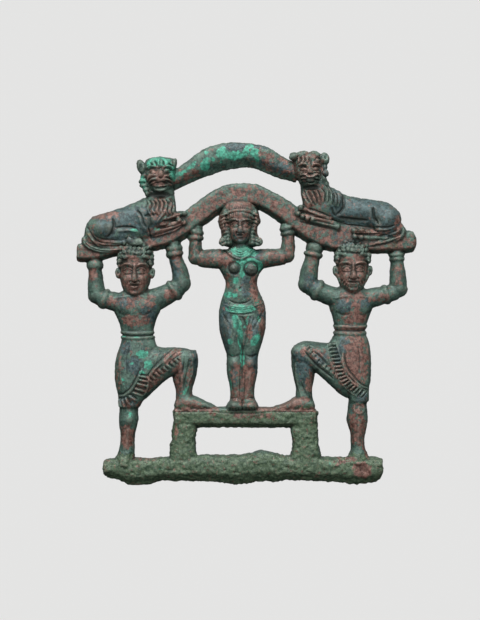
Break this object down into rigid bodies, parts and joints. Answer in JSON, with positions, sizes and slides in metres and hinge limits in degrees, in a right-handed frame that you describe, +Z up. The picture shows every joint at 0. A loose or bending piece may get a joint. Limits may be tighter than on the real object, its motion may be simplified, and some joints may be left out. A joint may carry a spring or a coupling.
{
  "type": "openwork bronze plaque",
  "caption": "Openwork cast bronze plaque with a flat back: a goddess on a stool between bearers who lift a bowed beam, with lions on it and an upper arch",
  "frame": {"origin": "on the flat back of the base bar, in the middle of the bar's length and height", "axes": "+X to the right and +Z up as seen from the front, -Y out of the front, +Y out of the flat back"},
  "size_m": [0.1698, 0.0158, 0.1718],
  "materials": {
    "patinated_bronze": "corroded bronze, dull green to blue-green with reddish brown and bright green patches"
  },
  "bodies": {
    "root": {"plaque": "patinated_bronze"}
  },
  "joints": []
}
